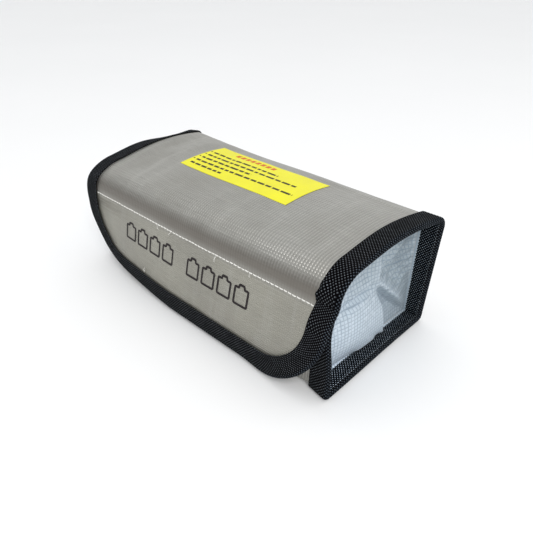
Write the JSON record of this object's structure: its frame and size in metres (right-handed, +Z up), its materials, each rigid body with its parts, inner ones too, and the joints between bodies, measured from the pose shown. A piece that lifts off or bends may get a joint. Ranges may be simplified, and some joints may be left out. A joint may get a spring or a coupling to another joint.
{
  "type": "battery storage bag",
  "caption": "Soft fire-resistant bag for model batteries: a silver cloth box with bound edges, recessed end panels and a front flap over a slot mouth.",
  "frame": {"origin": "centre of the face that the bag rests on", "axes": "+X along the bag, +Z up, the flap hangs on the -Y side"},
  "size_m": [0.185, 0.0828, 0.06],
  "materials": {
    "silver_cloth": "satin coated glass cloth, finely ribbed",
    "end_cloth": "pale coated glass cloth with a fine square grid",
    "foil_lining": "dull foil-faced cloth",
    "binding_tape": "coarse woven black tape",
    "hook_strip": "rough hook side of a hook-and-loop strip",
    "loop_strip": "fuzzy loop side of a hook-and-loop strip",
    "label": "printed yellow label",
    "thread": "white sewing thread"
  },
  "bodies": {
    "bag": {"top_panel": "silver_cloth", "front_apron": "silver_cloth", "back_panel": "silver_cloth", "front_panel": "silver_cloth", "bottom_panel": "silver_cloth", "lining_top": "foil_lining", "lining_apron": "foil_lining", "lining_back": "foil_lining", "lining_front": "foil_lining", "lining_bottom": "foil_lining", "end_panel_left": "end_cloth", "end_lining_left": "foil_lining", "end_tape_top_left": "binding_tape", "end_tape_back_left": "binding_tape", "end_tape_bottom_left": "binding_tape", "end_tape_front_left": "binding_tape", "end_panel_right": "end_cloth", "end_lining_right": "foil_lining", "end_tape_top_right": "binding_tape", "end_tape_back_right": "binding_tape", "end_tape_bottom_right": "binding_tape", "end_tape_front_right": "binding_tape", "mouth_binding": "binding_tape", "loop_strip": "loop_strip", "label_patch": "label"},
    "flap": {"flap_panel": "silver_cloth", "flap_lining": "foil_lining", "flap_binding_left": "binding_tape", "flap_binding_bottom": "binding_tape", "flap_binding_right": "binding_tape", "hook_strip": "hook_strip", "flap_seam": "thread"}
  },
  "joints": [
    {"name": "flap_hinge", "type": "hinge", "parent": "bag", "child": "flap", "pos_m": [0, -0.0395, 0.0465], "axis": [-1, 0, 0], "range_deg": [0, 170]}
  ]
}
